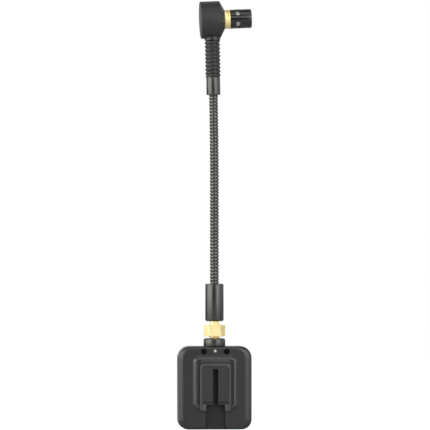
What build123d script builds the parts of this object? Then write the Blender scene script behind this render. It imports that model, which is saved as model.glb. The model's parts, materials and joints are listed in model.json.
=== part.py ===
"""Gooseneck microphone on a pocket wireless transmitter.

Millimetres, +Z up.  Everything is drawn with the arm's axis at X = 0, Y = 0 and Z = 0 at the
housing's underside, then moved so that the clip pocket's mouth is the origin.  The clip pocket
faces -Y and the capsule points along +X.
"""
import math
import os

from build123d import *

# Fits
slide_gap = 0.05
rest_gap = 0.15

# Housing
housing_width = 36.6
housing_depth = 13.0
housing_height = 41.5
high_corner = 5.8
low_corner = 5.0
edge_round = 1.3
wall = 1.4
top_wall = 1.6
parting = 3.2
near_face = -housing_depth / 2
far_face = housing_depth / 2

# Raised boss and clip pocket
boss_width = 22.0
boss_low = 11.1
boss_high = 36.7
boss_rise = 1.1
frame_width = 15.7
frame_low = 9.1
frame_high = 32.95
frame_rise = 1.9
boss_slope = 1.6
top_slope = 2.9
boss_corner = 3.2
frame_edge = 0.5
ledge_width = 0.9
ledge_depth = 0.55
plate_width = 12.6
plate_low = 12.45
plate_high = 31.7
plate_thick = 0.8
plate_inset = 0.15
plate_line = 13.9
slot_width = 2.5
slot_high = 30.5
pocket_width = 9.5
pocket_depth = 2.05
pocket_high = 31.1
pocket_floor = near_face - frame_rise + plate_inset + plate_thick + pocket_depth
pocket_wall = 1.2
channel_flare = 0.9

# Screws, lamp
screw_spacing = 11.4
screw_drop = 2.6
screw_head = 2.9
screw_head_tall = 1.0
screw_shank = 1.6
lamp_drop = 2.3
lamp_size = 2.1

# Circuit board and what it carries
board_thick = 0.8
board_width = 30.0
board_low = 2.6
board_high = 39.5
board_near = pocket_floor + pocket_wall + 0.3
board_far = board_near + board_thick
port_width = 9.0
port_thick = 3.2
port_low = 0.3
port_high = 7.6
switch_x = 11.0
switch_z = 32.6
switch_size = 4.4
switch_tall = 1.8
button_size = 5.0
button_proud = 0.6
button_travel = 0.4
cell_width = 28.0
cell_low = 9.2
cell_high = 27.0
cell_thick = 5.0
pad_thick = 0.3

# Socket, collar and coupling
thread_size = 4.9
thread_pitch = 0.75
bore_size = 3.3
socket_low = 30.2
socket_high = 47.7
flange_size = 7.0
flange_tall = 1.4
collar_size = 10.9
collar_high = 45.35
nut_corners = 10.74
nut_low = 46.5
nut_high = 51.95
seal_thick = 0.45
clip_low = 49.8
clip_thick = 0.5
clip_size = 6.0
clip_groove = 3.7
stem_size = 4.3
plug_size = 3.2
plug_low = 36.8
stem_high = 60.8

# Arm
ferrule_size = 9.1
ferrule_low = 53.9
ferrule_high = 72.55
coil_size = 4.5
coil_pitch = 1.653
wire_size = 1.24
link_turns = 5
link_count = 11
link_length = coil_pitch * link_turns
first_hinge = ferrule_high + coil_pitch
end_relief = 0.3
ball_size = 2.3
cable_bore = 1.0
lean_step = 0.2
first_lean = 7
stub_depth = 8.0
sleeve_size = 6.7
sleeve_low = coil_pitch
sleeve_high = sleeve_low + 8.95

# Ribbed neck, from the last coil hinge up
neck_size = 7.6
neck_root = 6.8
rib_pitch = 1.915
half_ribs = 5
half_neck = rib_pitch * half_ribs
neck_middle = sleeve_high + half_neck
neck_lean = 1.2
stud_size = 3.6
stud_reach = 4.0
neck_bore = 2.4

# Head, from its own centre with the capsule along +X
head_size = 18.6
head_back = -5.4
head_front = 4.8
cone_front = 6.9
cone_size = 10.4
head_wall = 1.3
cover_thick = 1.3
head_centre = half_neck + head_size / 2 + slide_gap
ring_size = 9.5
ring_front = 9.8
ring_groove = 8.75
capsule_size = 9.55
capsule_front = 20.45
capsule_wall = 0.9
vent_back = 12.3
vent_front = 14.1
vent_angle = 46.0
vent_turn = 42.0
front_opening = 6.6


def rod(size, low, high):
    return Pos(0, 0, (low + high) / 2) * Cylinder(size / 2, high - low)


def tube(size, bore, low, high):
    return rod(size, low, high) - rod(bore, low, high)


def block(left, right, near, far, low, high):
    middle = Pos((left + right) / 2, (near + far) / 2, (low + high) / 2)
    return middle * Box(right - left, far - near, high - low)


def rod_along_y(size, x, z, near, far):
    return Pos(x, (near + far) / 2, z) * Rot(90, 0, 0) * Cylinder(size / 2, far - near)


def rounded_block(width, low, high, near, far, low_radius, high_radius):
    body = block(-width / 2, width / 2, near, far, low, high)
    body = fillet(body.edges().filter_by(Axis.Y).sort_by(Axis.Z)[-2:], high_radius)
    return fillet(body.edges().filter_by(Axis.Y).sort_by(Axis.Z)[:2], low_radius)


def rounded_face(width, low, high, radius, y):
    outline = Plane.XZ * RectangleRounded(width, high - low, radius)
    return (Pos(0, y, (low + high) / 2) * outline).face()


def turned(points):
    outline = Plane.XZ * Polyline(*points, close=True)
    return revolve(make_face(outline), Axis.Z)


def along_x(shape):
    return Rot(0, 90, 0) * shape


# Housing -----------------------------------------------------------------------------

def housing_outside():
    body = rounded_block(
        housing_width, 0, housing_height, near_face, far_face, low_corner, high_corner
    )
    body = fillet(body.faces().sort_by(Axis.Y)[0].edges(), edge_round)
    return fillet(body.faces().sort_by(Axis.Y)[-1].edges(), edge_round)


def housing_inside():
    return rounded_block(
        housing_width - 2 * wall,
        wall,
        housing_height - top_wall,
        near_face + wall,
        far_face - wall,
        low_corner - wall,
        high_corner - wall,
    )


def boss():
    root = rounded_block(
        boss_width, boss_low, boss_high, near_face, near_face + wall / 2, boss_corner, boss_corner
    )
    foot = rounded_face(boss_width, boss_low, boss_high, boss_corner, near_face)
    crown = rounded_face(
        boss_width - 2 * boss_slope,
        boss_low + boss_slope,
        boss_high - top_slope,
        boss_corner - boss_slope / 2,
        near_face - boss_rise,
    )
    base = root + loft([foot, crown], ruled=True)
    valley = rounded_block(
        frame_width + 2 * ledge_width,
        frame_low - 1,
        frame_high + ledge_width,
        near_face - boss_rise - 1,
        near_face - boss_rise + ledge_depth,
        2.4,
        2.4,
    )
    valley = chamfer(valley.faces().sort_by(Axis.Y)[-1].edges(), ledge_width * 0.45)
    frame = rounded_block(
        frame_width, frame_low, frame_high, near_face - frame_rise, near_face + wall / 2, 1.2, 2.0
    )
    frame = chamfer(frame.faces().sort_by(Axis.Y)[0].edges(), frame_edge)
    return base - valley + frame


def channel(near, far, high):
    half = pocket_width / 2
    outline = Plane.XZ * Polyline(
        (-half + 0.1, high),
        (-half - channel_flare, -1),
        (half + channel_flare, -1),
        (half - 0.1, high),
        close=True,
    )
    return Pos(0, far, 0) * extrude(make_face(outline), far - near)


def pocket_cut():
    plate_seat = near_face - frame_rise + plate_inset + plate_thick
    seat = rounded_block(
        plate_width + 2 * slide_gap,
        frame_low - 1,
        plate_high + slide_gap,
        near_face - frame_rise - 1,
        plate_seat,
        0.2,
        1.0,
    )
    bay = block(
        -pocket_width / 2, pocket_width / 2, plate_seat - 2, pocket_floor, -1, pocket_high
    )
    low_cut = channel(near_face - 5, pocket_floor, plate_low)
    feet = block(
        -plate_width, plate_width, near_face - 5, plate_seat, frame_low - 2, plate_low - 0.05
    )
    keep_feet = seat - feet
    return keep_feet + bay + low_cut


def port_hole(spare):
    hole = block(
        -port_width / 2 - spare,
        port_width / 2 + spare,
        board_far,
        board_far + port_thick + spare,
        -1,
        wall + 1,
    )
    return fillet(hole.edges().filter_by(Axis.Z), 1.4)


def screw_places():
    height = housing_height - screw_drop
    return [(-screw_spacing / 2, height), (screw_spacing / 2, height)]


def seal_path(spare):
    inset = wall / 2 - 0.25 - spare
    outer = rounded_block(
        housing_width - 2 * inset, inset, housing_height - inset, parting - 0.5 - spare, parting,
        low_corner - inset, high_corner - inset,
    )
    inset = wall / 2 + 0.25 + spare
    inner = rounded_block(
        housing_width - 2 * inset, inset, housing_height - inset, parting - 1, parting + 1,
        low_corner - inset, high_corner - inset,
    )
    return outer - inner


def make_back_shell():
    half = block(-30, 30, -20, parting, -5, 60)
    backing = block(
        -pocket_width / 2 - pocket_wall,
        pocket_width / 2 + pocket_wall,
        near_face + wall / 2,
        pocket_floor + pocket_wall,
        wall / 2,
        pocket_high + pocket_wall,
    )
    shell = (housing_outside() & half) - housing_inside()
    shell = shell + boss() + backing
    for x, z in screw_places():
        post = rod_along_y(4.0, x, z, near_face + wall / 2, board_near - rest_gap)
        shell = shell + (post & (housing_outside() & half))
    shell = shell - pocket_cut() - seal_path(0.02)
    for x, z in screw_places():
        shell = shell - rod_along_y(
            screw_head + 0.1, x, z, near_face - 1, near_face + screw_head_tall + 0.1
        )
        shell = shell - rod_along_y(screw_shank + 0.1, x, z, near_face, board_far)
    lamp_z = housing_height - lamp_drop
    shell = shell - rod_along_y(lamp_size, 0, lamp_z, near_face - 1, near_face + wall + 0.4)
    shell = shell - rod(thread_size + 0.1, housing_height - 3, housing_height + 1)
    return shell - port_hole(0.1)


def make_front_shell():
    half = block(-30, 30, parting, 20, -5, 60)
    shell = (housing_outside() & half) - housing_inside()
    for x, z in screw_places():
        post = rod_along_y(3.6, x, z, parting, far_face - wall / 2)
        shell = shell + (post & (housing_outside() & half))
        shell = shell - rod_along_y(screw_shank + 0.1, x, z, parting - 1, far_face - wall)
    hole = rod_along_y(
        button_size + 2 * slide_gap, switch_x, switch_z, far_face - wall - 1, far_face + 1
    )
    return shell - hole


def make_clip_guide_plate():
    near = near_face - frame_rise + plate_inset
    far = near + plate_thick
    plate = rounded_block(plate_width, plate_low, plate_high, near, far, 0.2, 0.95)
    plate = plate - block(
        -slot_width / 2, slot_width / 2, near - 1, far + 1, plate_low - 1, slot_high
    )
    line = block(-plate_width, plate_width, near - 1, near + 0.2, plate_line - 0.15, plate_line + 0.15)
    return plate - line


def make_housing_screws():
    screws = []
    for x, z in screw_places():
        near = near_face + 0.05
        head = rod_along_y(screw_head, x, z, near, near + screw_head_tall)
        key = Pos(x, near, z) * Rot(90, 0, 0) * extrude(RegularPolygon(0.75, 6), 0.6, both=True)
        shank = rod_along_y(
            screw_shank, x, z, near + screw_head_tall - 0.1, far_face - wall - 0.2
        )
        screws.append(head + shank - key)
    return screws


def make_led_window():
    height = housing_height - lamp_drop
    body = rod_along_y(lamp_size - 0.06, 0, height, near_face + 0.35, near_face + wall)
    dome = Pos(0, near_face + 1.05, height) * Sphere(lamp_size / 2 - 0.03)
    return body + (dome & block(-2, 2, near_face, near_face + 1, 0, 60))


def make_status_led():
    height = housing_height - lamp_drop
    return block(-0.8, 0.8, near_face + wall + 0.1, board_near, height - 0.4, height + 0.4)


def make_shell_seal():
    return seal_path(0)


# Electronics -------------------------------------------------------------------------

def make_circuit_board():
    board = rounded_block(board_width, board_low, board_high, board_near, board_far, 2.5, 3.5)
    for x, z in screw_places():
        board = board - rod_along_y(2.6, x, z, board_near - 1, board_far + 1)
    return board


def make_board_chips():
    near = board_far
    places = [
        (1.5, 6.5, 12.0, 17.0, 1.0),
        (8.5, 12.5, 12.0, 15.0, 0.9),
        (8.0, 10.0, 17.0, 19.0, 0.8),
        (11.5, 13.5, 17.5, 20.5, 0.8),
        (2.0, 5.0, 20.0, 22.0, 0.7),
        (-13.0, -10.5, 29.5, 33.0, 1.1),
        (-9.0, -5.5, 30.0, 32.5, 1.0),
    ]
    return [block(a, b, near, near + tall, c, d) for a, b, c, d, tall in places]


def make_rf_shield_can():
    can = block(-12.5, -1.0, board_far, board_far + 1.7, 12.0, 23.5)
    can = fillet(can.edges().filter_by(Axis.Y), 0.6)
    hollow = block(-12.3, -1.2, board_far - 1, board_far + 1.5, 12.2, 23.3)
    return can - hollow


def make_battery_cell():
    far = far_face - wall - pad_thick
    cell = block(-cell_width / 2, cell_width / 2, far - cell_thick, far, cell_low, cell_high)
    cell = fillet(cell.edges().filter_by(Axis.Z), 1.6)
    return cell


def make_battery_pad():
    far = far_face - wall
    return block(-cell_width / 2 + 3, cell_width / 2 - 3, far - pad_thick, far, 11.0, 25.0)


def make_battery_tabs():
    tabs = []
    cell_near = far_face - wall - pad_thick - cell_thick
    for x in (-6.0, -2.0):
        upright = block(x - 0.9, x + 0.9, board_far, cell_near + 1.2, cell_high + 0.6, cell_high + 0.75)
        foot = block(x - 0.9, x + 0.9, board_far, board_far + 0.15, cell_high + 0.6, cell_high + 2.2)
        tip = block(x - 0.9, x + 0.9, cell_near + 1.05, cell_near + 1.2, cell_high, cell_high + 0.7)
        tabs.append(upright + foot + tip)
    return tabs


def make_antenna_strip():
    post = block(14.2, 14.4, board_far, board_far + 2.6, 8.0, 34.0)
    foot = block(13.2, 14.4, board_far, board_far + 0.2, 8.0, 10.0)
    return post + foot


def make_tact_switch():
    half = switch_size / 2
    case = block(
        switch_x - half, switch_x + half, board_far, board_far + switch_tall - 0.5,
        switch_z - half, switch_z + half,
    )
    case = chamfer(case.edges().filter_by(Axis.Y), 0.5)
    tip = rod_along_y(2.2, switch_x, switch_z, board_far + switch_tall - 0.6, board_far + switch_tall)
    return case + tip


def make_power_button():
    cap = rod_along_y(
        button_size, switch_x, switch_z, far_face - wall - 1.2, far_face + button_proud
    )
    rim = cap.edges().filter_by(GeomType.CIRCLE).sort_by(Axis.Y)[-1]
    cap = fillet(rim, 0.35)
    skirt = rod_along_y(
        button_size + 1.4, switch_x, switch_z, far_face - wall - 1.6, far_face - wall - 0.05
    )
    stem = rod_along_y(
        2.0, switch_x, switch_z, board_far + switch_tall + button_travel + 0.05, far_face - wall - 1
    )
    return cap + skirt + stem


def make_charging_port():
    near = board_far
    far = near + port_thick
    case = block(-port_width / 2, port_width / 2, near, far, port_low, port_high)
    case = fillet(case.edges().filter_by(Axis.Z), 1.4)
    hollow = block(
        -port_width / 2 + 0.3, port_width / 2 - 0.3, near + 0.3, far - 0.3, port_low - 1,
        port_high - 0.6,
    )
    return case - fillet(hollow.edges().filter_by(Axis.Z), 1.1)


def make_port_tongue():
    middle = board_far + port_thick / 2
    return block(-3.2, 3.2, middle - 0.35, middle + 0.35, port_low + 1.0, port_high - 0.6)


# Socket, collar and coupling ---------------------------------------------------------

def make_socket_body():
    thread = rod(thread_size, socket_low, socket_high)
    groove_z = collar_high + 0.2
    while groove_z < socket_high - 0.5:
        groove = tube(thread_size + 1, thread_size - 0.5, groove_z, groove_z + thread_pitch * 0.4)
        thread = thread - groove
        groove_z = groove_z + thread_pitch
    top = housing_height - top_wall
    flange = rod(flange_size, top - flange_tall, top)
    flat = block(-10, 10, -10, board_far + 0.12, top - flange_tall - 1, top + 0.001)
    body = thread + (flange - flat)
    return body - rod(bore_size, socket_low + 1.0, socket_high + 1) - rod(2.6, socket_low - 1, 40)


def make_bush_collar():
    ring = tube(collar_size, thread_size + 2 * slide_gap, housing_height, collar_high)
    rims = ring.edges().filter_by(GeomType.CIRCLE).group_by(Axis.Z)[-1]
    return chamfer(rims.sort_by(SortBy.RADIUS)[-1], 0.5)


def make_socket_insulator():
    return tube(bore_size - 0.04, 1.45, socket_low + 1.05, socket_low + 5.0)


def make_socket_contact():
    barrel = tube(1.4, 1.0, socket_low - 2.0, socket_low + 5.4)
    return barrel - block(-0.12, 0.12, -2, 2, socket_low + 2.6, socket_low + 6)


def make_seal_ring():
    return tube(thread_size - 0.3, plug_size + 2 * slide_gap, socket_high, socket_high + seal_thick)


def make_plug_body():
    shoulder = socket_high + seal_thick
    shaft = rod(plug_size, plug_low, shoulder + 1)
    neck = rod(thread_size - 0.2, shoulder, clip_low)
    groove = rod(clip_groove, clip_low - 0.1, clip_low + clip_thick + 0.2)
    stem = rod(stem_size, clip_low + clip_thick + 0.1, stem_high)
    body = shaft + neck + groove + stem
    return body - rod(2.2, plug_low - 1, plug_low + 6) - rod(1.2, plug_low, stem_high + 1)


def make_plug_insulator():
    return tube(2.16, 0.94, plug_low, plug_low + 5.9)


def make_plug_pin():
    pin = rod(0.9, socket_low + 1.8, plug_low + 5.9)
    tip = pin.edges().filter_by(GeomType.CIRCLE).sort_by(Axis.Z)[0]
    return chamfer(tip, 0.25)


def make_nut_retaining_ring():
    ring = tube(clip_size, clip_groove + 0.1, clip_low, clip_low + clip_thick)
    return ring - block(0, 10, -0.6, 0.6, clip_low - 1, clip_low + 2)


def make_coupling_nut():
    tall = nut_high - nut_low
    nut = Pos(0, 0, nut_low) * extrude(RegularPolygon(nut_corners / 2, 6), tall)
    radius = nut_corners / 2
    flat_radius = radius * math.cos(math.pi / 6)
    rise = (radius - flat_radius + 0.1) * 0.7
    cone = turned([
        (0, nut_low),
        (flat_radius - 0.1, nut_low),
        (radius + 0.1, nut_low + rise * 1.25),
        (radius + 0.1, nut_high - rise * 1.25),
        (flat_radius - 0.1, nut_high),
        (0, nut_high),
    ])
    nut = nut & cone
    nut = nut - rod(thread_size + 2 * slide_gap, nut_low - 1, clip_low)
    nut = nut - rod(clip_size + 0.3, clip_low - 0.1, clip_low + clip_thick + 0.1)
    return nut - rod(stem_size + 2 * slide_gap, clip_low, nut_high + 1)


# Arm ---------------------------------------------------------------------------------

def make_lower_ferrule():
    stub_low = ferrule_high - stub_depth
    body = rod(ferrule_size, ferrule_low, ferrule_high)
    rims = body.edges().filter_by(GeomType.CIRCLE)
    body = fillet(rims, 0.4)
    body = body - rod(stem_size + 0.02, ferrule_low - 1, stem_high)
    body = body - rod(3.0, stem_high - 1, stub_low + 1)
    return body - rod(coil_size + 0.06, stub_low - 0.1, ferrule_high + 1)


def coil_turn(height):
    return Pos(0, 0, height) * Torus((coil_size - wire_size) / 2, wire_size / 2)


def make_gooseneck_root():
    hinge = first_hinge
    body = rod(coil_size, ferrule_high - stub_depth, ferrule_high - 0.1)
    body = body + rod(coil_size - wire_size * 1.2, ferrule_high - 1, hinge - end_relief)
    body = body + coil_turn(hinge - coil_pitch / 2)
    body = body + Pos(0, 0, hinge) * Sphere(ball_size / 2)
    return body - rod(cable_bore, ferrule_high - stub_depth - 1, hinge + 3)


def make_gooseneck_link():
    core = rod(coil_size - wire_size * 1.2, end_relief, link_length - end_relief)
    for turn in range(link_turns):
        core = core + coil_turn((turn + 0.5) * coil_pitch)
    core = core + Pos(0, 0, link_length) * Sphere(ball_size / 2)
    core = core - Sphere(ball_size / 2 + slide_gap)
    return core - rod(cable_bore, -1, link_length + 3)


def make_gooseneck_tip():
    top = sleeve_low + stub_depth - 2.0
    core = rod(coil_size - wire_size * 1.2, end_relief, sleeve_low + 1)
    core = core + coil_turn(coil_pitch / 2) + rod(coil_size, sleeve_low + 0.1, top)
    core = core - Sphere(ball_size / 2 + slide_gap)
    return core - rod(cable_bore, -1, top + 1)


def make_upper_sleeve():
    body = rod(sleeve_size, sleeve_low, sleeve_high)
    body = fillet(body.edges().filter_by(GeomType.CIRCLE), 0.3)
    body = body - rod(coil_size + 0.06, sleeve_low - 1, sleeve_low + stub_depth - 2.0)
    return body - rod(stud_size + 0.02, sleeve_low, sleeve_high + 1)


def make_neck_stud():
    low = sleeve_low + stub_depth - 1.9
    return tube(stud_size, 1.6, low, sleeve_high + stud_reach)


def link_frames():
    frames = []
    frame = Pos(0, 0, first_hinge)
    for hinge in range(1, link_count + 2):
        lean = lean_step if hinge >= first_lean else 0.0
        frame = frame * Rot(0, -lean, 0)
        frames.append(frame)
        frame = frame * Pos(0, 0, link_length)
    return frames


# Neck and head -----------------------------------------------------------------------

def ribbed_half(low):
    points = [(0, low)]
    for rib in range(half_ribs):
        start = low + rib * rib_pitch
        points.append((neck_root / 2, start))
        points.append((neck_root / 2, start + rib_pitch * 0.15))
        points.append((neck_size / 2, start + rib_pitch * 0.4))
        points.append((neck_size / 2, start + rib_pitch * 0.6))
        points.append((neck_root / 2, start + rib_pitch * 0.85))
    points.append((neck_root / 2, low + half_neck))
    points.append((0, low + half_neck))
    return turned(points)


def make_ribbed_neck(tip_frame, neck_frame):
    stud_hole = stud_size + 0.1
    puck = Pos(0, 0, head_centre) * along_x(Cylinder(head_size / 2 + slide_gap, 40))
    lower = ribbed_half(sleeve_high)
    flare = rod(neck_size + 0.4, half_neck - 0.9, half_neck + 1.6)
    upper = (ribbed_half(0) + rod(neck_root + 0.2, -0.3, 0.3) + flare) - puck
    neck = tip_frame * lower + neck_frame * upper
    low_bore = rod(neck_bore, sleeve_high - 1, neck_middle)
    low_bore = low_bore + rod(stud_hole, sleeve_high - 1, sleeve_high + stud_reach)
    high_bore = rod(neck_bore, 0, half_neck + 3) + rod(stud_hole, half_neck - stud_reach, half_neck + 3)
    middle_bore = Sphere(neck_bore / 2 + 0.1)
    return neck - tip_frame * low_bore - neck_frame * high_bore - neck_frame * middle_bore


def make_head_shell():
    body = turned([
        (0, head_back),
        (head_size / 2, head_back),
        (head_size / 2, head_front - 0.5),
        (head_size / 2 - 0.4, head_front),
        (cone_size / 2, cone_front),
        (0, cone_front),
    ])
    body = fillet(body.edges().filter_by(GeomType.CIRCLE).sort_by(Axis.Z)[0], 1.5)
    inner = head_size / 2 - head_wall
    body = body - turned([
        (0, head_back - 1),
        (inner + 0.5, head_back - 1),
        (inner + 0.5, head_back + cover_thick),
        (inner, head_back + cover_thick),
        (inner, head_front - 0.6),
        (cone_size / 2 - 0.6, cone_front - head_wall),
        (0, cone_front - head_wall),
    ])
    body = along_x(body - rod(7.2, 0, cone_front + 1))
    return body - rod(stud_size + 0.1, -head_size, 0)


def make_head_cover():
    size = head_size - 2 * head_wall + 1.0 - 0.06
    body = rod(size, head_back, head_back + cover_thick)
    body = fillet(body.edges().filter_by(GeomType.CIRCLE).sort_by(Axis.Z)[0], 0.3)
    return along_x(body)


def make_head_carrier():
    size = head_size - 2 * head_wall - 0.2
    ring = along_x(tube(size, size - 1.6, -3.6, 3.4))
    foot = rod(stud_size, -head_size / 2 - stud_reach, -size / 2 + 0.9)
    pad = rod(6.0, -size / 2 - 0.2, -size / 2 + 2.2) & along_x(rod(size, -3.6, 3.4))
    return ring + foot + pad - rod(1.6, -head_size, -size / 2 + 4)


def make_preamp_board():
    size = head_size - 2 * head_wall - 2.0
    disc = along_x(rod(size, -1.0, -0.2))
    return disc - block(-2, 1, -4, 4, -size, -size / 2 + 2.4)


def make_preamp_parts():
    return [
        block(-2.1, -1.0, -2.5, 1.5, -1.0, 3.0),
        block(-1.9, -1.0, 2.6, 4.6, 1.0, 3.4),
        block(-0.2, 0.8, -4.5, -2.0, 2.0, 4.5),
    ]


def make_capsule_ring():
    body = turned([
        (0, cone_front + slide_gap),
        (ring_size / 2 - 0.25, cone_front + slide_gap),
        (ring_size / 2, cone_front + 0.3),
        (ring_size / 2, ring_groove - 0.15),
        (ring_size / 2 - 0.2, ring_groove - 0.1),
        (ring_size / 2 - 0.2, ring_groove + 0.1),
        (ring_size / 2, ring_groove + 0.15),
        (ring_size / 2, ring_front - 0.1),
        (ring_size / 2 - 0.1, ring_front),
        (0, ring_front),
    ])
    spigot = rod(7.1, cone_front - 2.2, cone_front + 0.5)
    body = body + spigot
    return along_x(body - rod(5.6, 0, ring_front + 1) - rod(7.8, ring_groove - 0.6, ring_front + 1))


def make_capsule_shell():
    inner = capsule_size - 2 * capsule_wall
    body = rod(capsule_size, ring_front + 0.02, capsule_front)
    body = chamfer(body.edges().filter_by(GeomType.CIRCLE).sort_by(Axis.Z)[-1], 0.55)
    body = body + rod(7.7, ring_groove - 0.55, ring_front + 1)
    body = body - rod(6.4, 0, ring_front + 1.2) - rod(inner, ring_front + 1.0, capsule_front - 0.8)
    body = body - rod(front_opening, 0, capsule_front + 1)
    for turn in (vent_turn, 180 - vent_turn, 180 + vent_turn, 360 - vent_turn):
        body = body - vent_cut(turn)
    return along_x(body)


def vent_cut(turn):
    height = vent_front - vent_back
    wedge = Polyline(
        (0, 0),
        (20, -20 * math.tan(math.radians(vent_angle / 2))),
        (20, 20 * math.tan(math.radians(vent_angle / 2))),
        close=True,
    )
    slice_ = Pos(0, 0, vent_back) * extrude(make_face(wedge), height)
    slice_ = Rot(0, 0, turn) * slice_
    return slice_ - rod(capsule_size - 2 * capsule_wall - 0.4, vent_back - 1, vent_front + 1)


def make_vent_mesh():
    size = capsule_size - 2 * capsule_wall - 2 * slide_gap
    return along_x(tube(size, size - 0.3, vent_back - 0.9, vent_front + 0.9))


def make_front_grille():
    size = capsule_size - 2 * capsule_wall - 2 * slide_gap
    disc = rod(size, capsule_front - 1.25, capsule_front - 0.85)
    for ring_radius, count in ((0.0, 1), (1.1, 6), (2.2, 12)):
        for step in range(count):
            angle = 2 * math.pi * step / count
            place = Pos(ring_radius * math.cos(angle), ring_radius * math.sin(angle), 0)
            disc = disc - place * rod(0.6, capsule_front - 2, capsule_front)
    return along_x(disc)


def make_element_boot():
    size = capsule_size - 2 * capsule_wall - 2 * slide_gap
    return along_x(tube(size, 6.02, vent_front + 1.1, capsule_front - 1.5))


def make_electret_element():
    return along_x(rod(6.0, vent_front + 0.4, capsule_front - 1.7))


def make_capsule_board():
    return along_x(rod(6.3, ring_front + 0.15, ring_front + 0.95))


def make_contact_pins():
    pins = []
    for y in (-1.3, 1.3):
        front = along_x(rod(0.6, ring_front + 0.95, vent_front + 0.4))
        back = along_x(rod(0.6, -0.2, ring_front + 0.15))
        pins.append(Pos(0, y, 0) * front)
        pins.append(Pos(0, y, 0) * back)
    return pins


def write(name, shape):
    pocket_middle = pocket_floor - pocket_depth / 2
    to_origin = Pos(0, -pocket_middle, -frame_low)
    pieces = shape if isinstance(shape, list) else [shape]
    flat = []
    for piece in pieces:
        flat.extend((to_origin * piece).solids())
    whole = flat[0] if len(flat) == 1 else Compound(children=flat)
    whole.label = name
    export_step(whole, f"parts/{name}.step")


def main():
    os.makedirs("parts", exist_ok=True)
    frames = link_frames()
    tip = frames[-1]
    neck = tip * Pos(0, 0, neck_middle) * Rot(0, -neck_lean, 0)
    head = neck * Pos(0, 0, head_centre)

    write("back_shell", make_back_shell())
    write("front_shell", make_front_shell())
    write("clip_guide_plate", make_clip_guide_plate())
    write("housing_screws", make_housing_screws())
    write("led_window", make_led_window())
    write("status_led", make_status_led())
    write("shell_seal", make_shell_seal())
    write("circuit_board", make_circuit_board())
    write("board_chips", make_board_chips())
    write("rf_shield_can", make_rf_shield_can())
    write("battery_cell", make_battery_cell())
    write("battery_pad", make_battery_pad())
    write("battery_tabs", make_battery_tabs())
    write("antenna_strip", make_antenna_strip())
    write("tact_switch", make_tact_switch())
    write("power_button", make_power_button())
    write("charging_port", make_charging_port())
    write("port_tongue", make_port_tongue())
    write("socket_body", make_socket_body())
    write("bush_collar", make_bush_collar())
    write("socket_insulator", make_socket_insulator())
    write("socket_contact", make_socket_contact())
    write("seal_ring", make_seal_ring())
    write("plug_body", make_plug_body())
    write("plug_insulator", make_plug_insulator())
    write("plug_pin", make_plug_pin())
    write("nut_retaining_ring", make_nut_retaining_ring())
    write("coupling_nut", make_coupling_nut())
    write("lower_ferrule", make_lower_ferrule())
    write("gooseneck_root", make_gooseneck_root())
    link = make_gooseneck_link()
    for number in range(1, link_count + 1):
        write(f"gooseneck_link_{number:02d}", frames[number - 1] * link)
    write("gooseneck_tip", tip * make_gooseneck_tip())
    write("upper_sleeve", tip * make_upper_sleeve())
    write("neck_stud", tip * make_neck_stud())
    write("ribbed_neck", make_ribbed_neck(tip, neck))
    write("head_shell", head * make_head_shell())
    write("head_cover", head * make_head_cover())
    write("head_carrier", head * make_head_carrier())
    write("preamp_board", head * make_preamp_board())
    write("preamp_parts", [head * chip for chip in make_preamp_parts()])
    write("capsule_ring", head * make_capsule_ring())
    write("capsule_shell", head * make_capsule_shell())
    write("vent_mesh", head * make_vent_mesh())
    write("front_grille", head * make_front_grille())
    write("element_boot", head * make_element_boot())
    write("electret_element", head * make_electret_element())
    write("capsule_board", head * make_capsule_board())
    write("contact_pins", [head * pin for pin in make_contact_pins()])


main()
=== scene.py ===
"""A gooseneck microphone on a pocket wireless transmitter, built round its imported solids."""

import json
import math

import bpy
from mathutils import Matrix, Vector


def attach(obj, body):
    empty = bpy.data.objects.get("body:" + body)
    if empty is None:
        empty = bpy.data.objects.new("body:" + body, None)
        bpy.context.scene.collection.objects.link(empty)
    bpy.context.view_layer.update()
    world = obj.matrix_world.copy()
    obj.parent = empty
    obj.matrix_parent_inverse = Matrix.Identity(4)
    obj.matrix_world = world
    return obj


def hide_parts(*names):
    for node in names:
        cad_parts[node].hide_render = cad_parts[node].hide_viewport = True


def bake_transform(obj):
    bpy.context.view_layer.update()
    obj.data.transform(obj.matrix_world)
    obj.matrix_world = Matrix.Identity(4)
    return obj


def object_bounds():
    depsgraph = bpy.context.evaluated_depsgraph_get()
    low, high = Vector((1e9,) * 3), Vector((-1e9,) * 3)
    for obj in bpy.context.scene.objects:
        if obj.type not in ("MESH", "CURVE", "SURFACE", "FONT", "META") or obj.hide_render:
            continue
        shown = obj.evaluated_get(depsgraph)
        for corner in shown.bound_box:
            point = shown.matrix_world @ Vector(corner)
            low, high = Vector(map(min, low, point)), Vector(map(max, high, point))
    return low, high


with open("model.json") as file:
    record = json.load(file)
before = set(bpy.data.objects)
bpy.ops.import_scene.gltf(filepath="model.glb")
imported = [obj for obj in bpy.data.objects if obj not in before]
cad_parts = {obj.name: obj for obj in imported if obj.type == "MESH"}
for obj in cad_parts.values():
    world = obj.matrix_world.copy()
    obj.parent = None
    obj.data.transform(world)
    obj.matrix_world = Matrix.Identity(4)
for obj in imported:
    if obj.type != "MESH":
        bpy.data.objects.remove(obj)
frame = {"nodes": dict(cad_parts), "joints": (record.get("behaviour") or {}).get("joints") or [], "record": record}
cad_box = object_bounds()

MM = 0.001
JOINTS = {joint["name"]: joint for joint in frame["joints"]}

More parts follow.
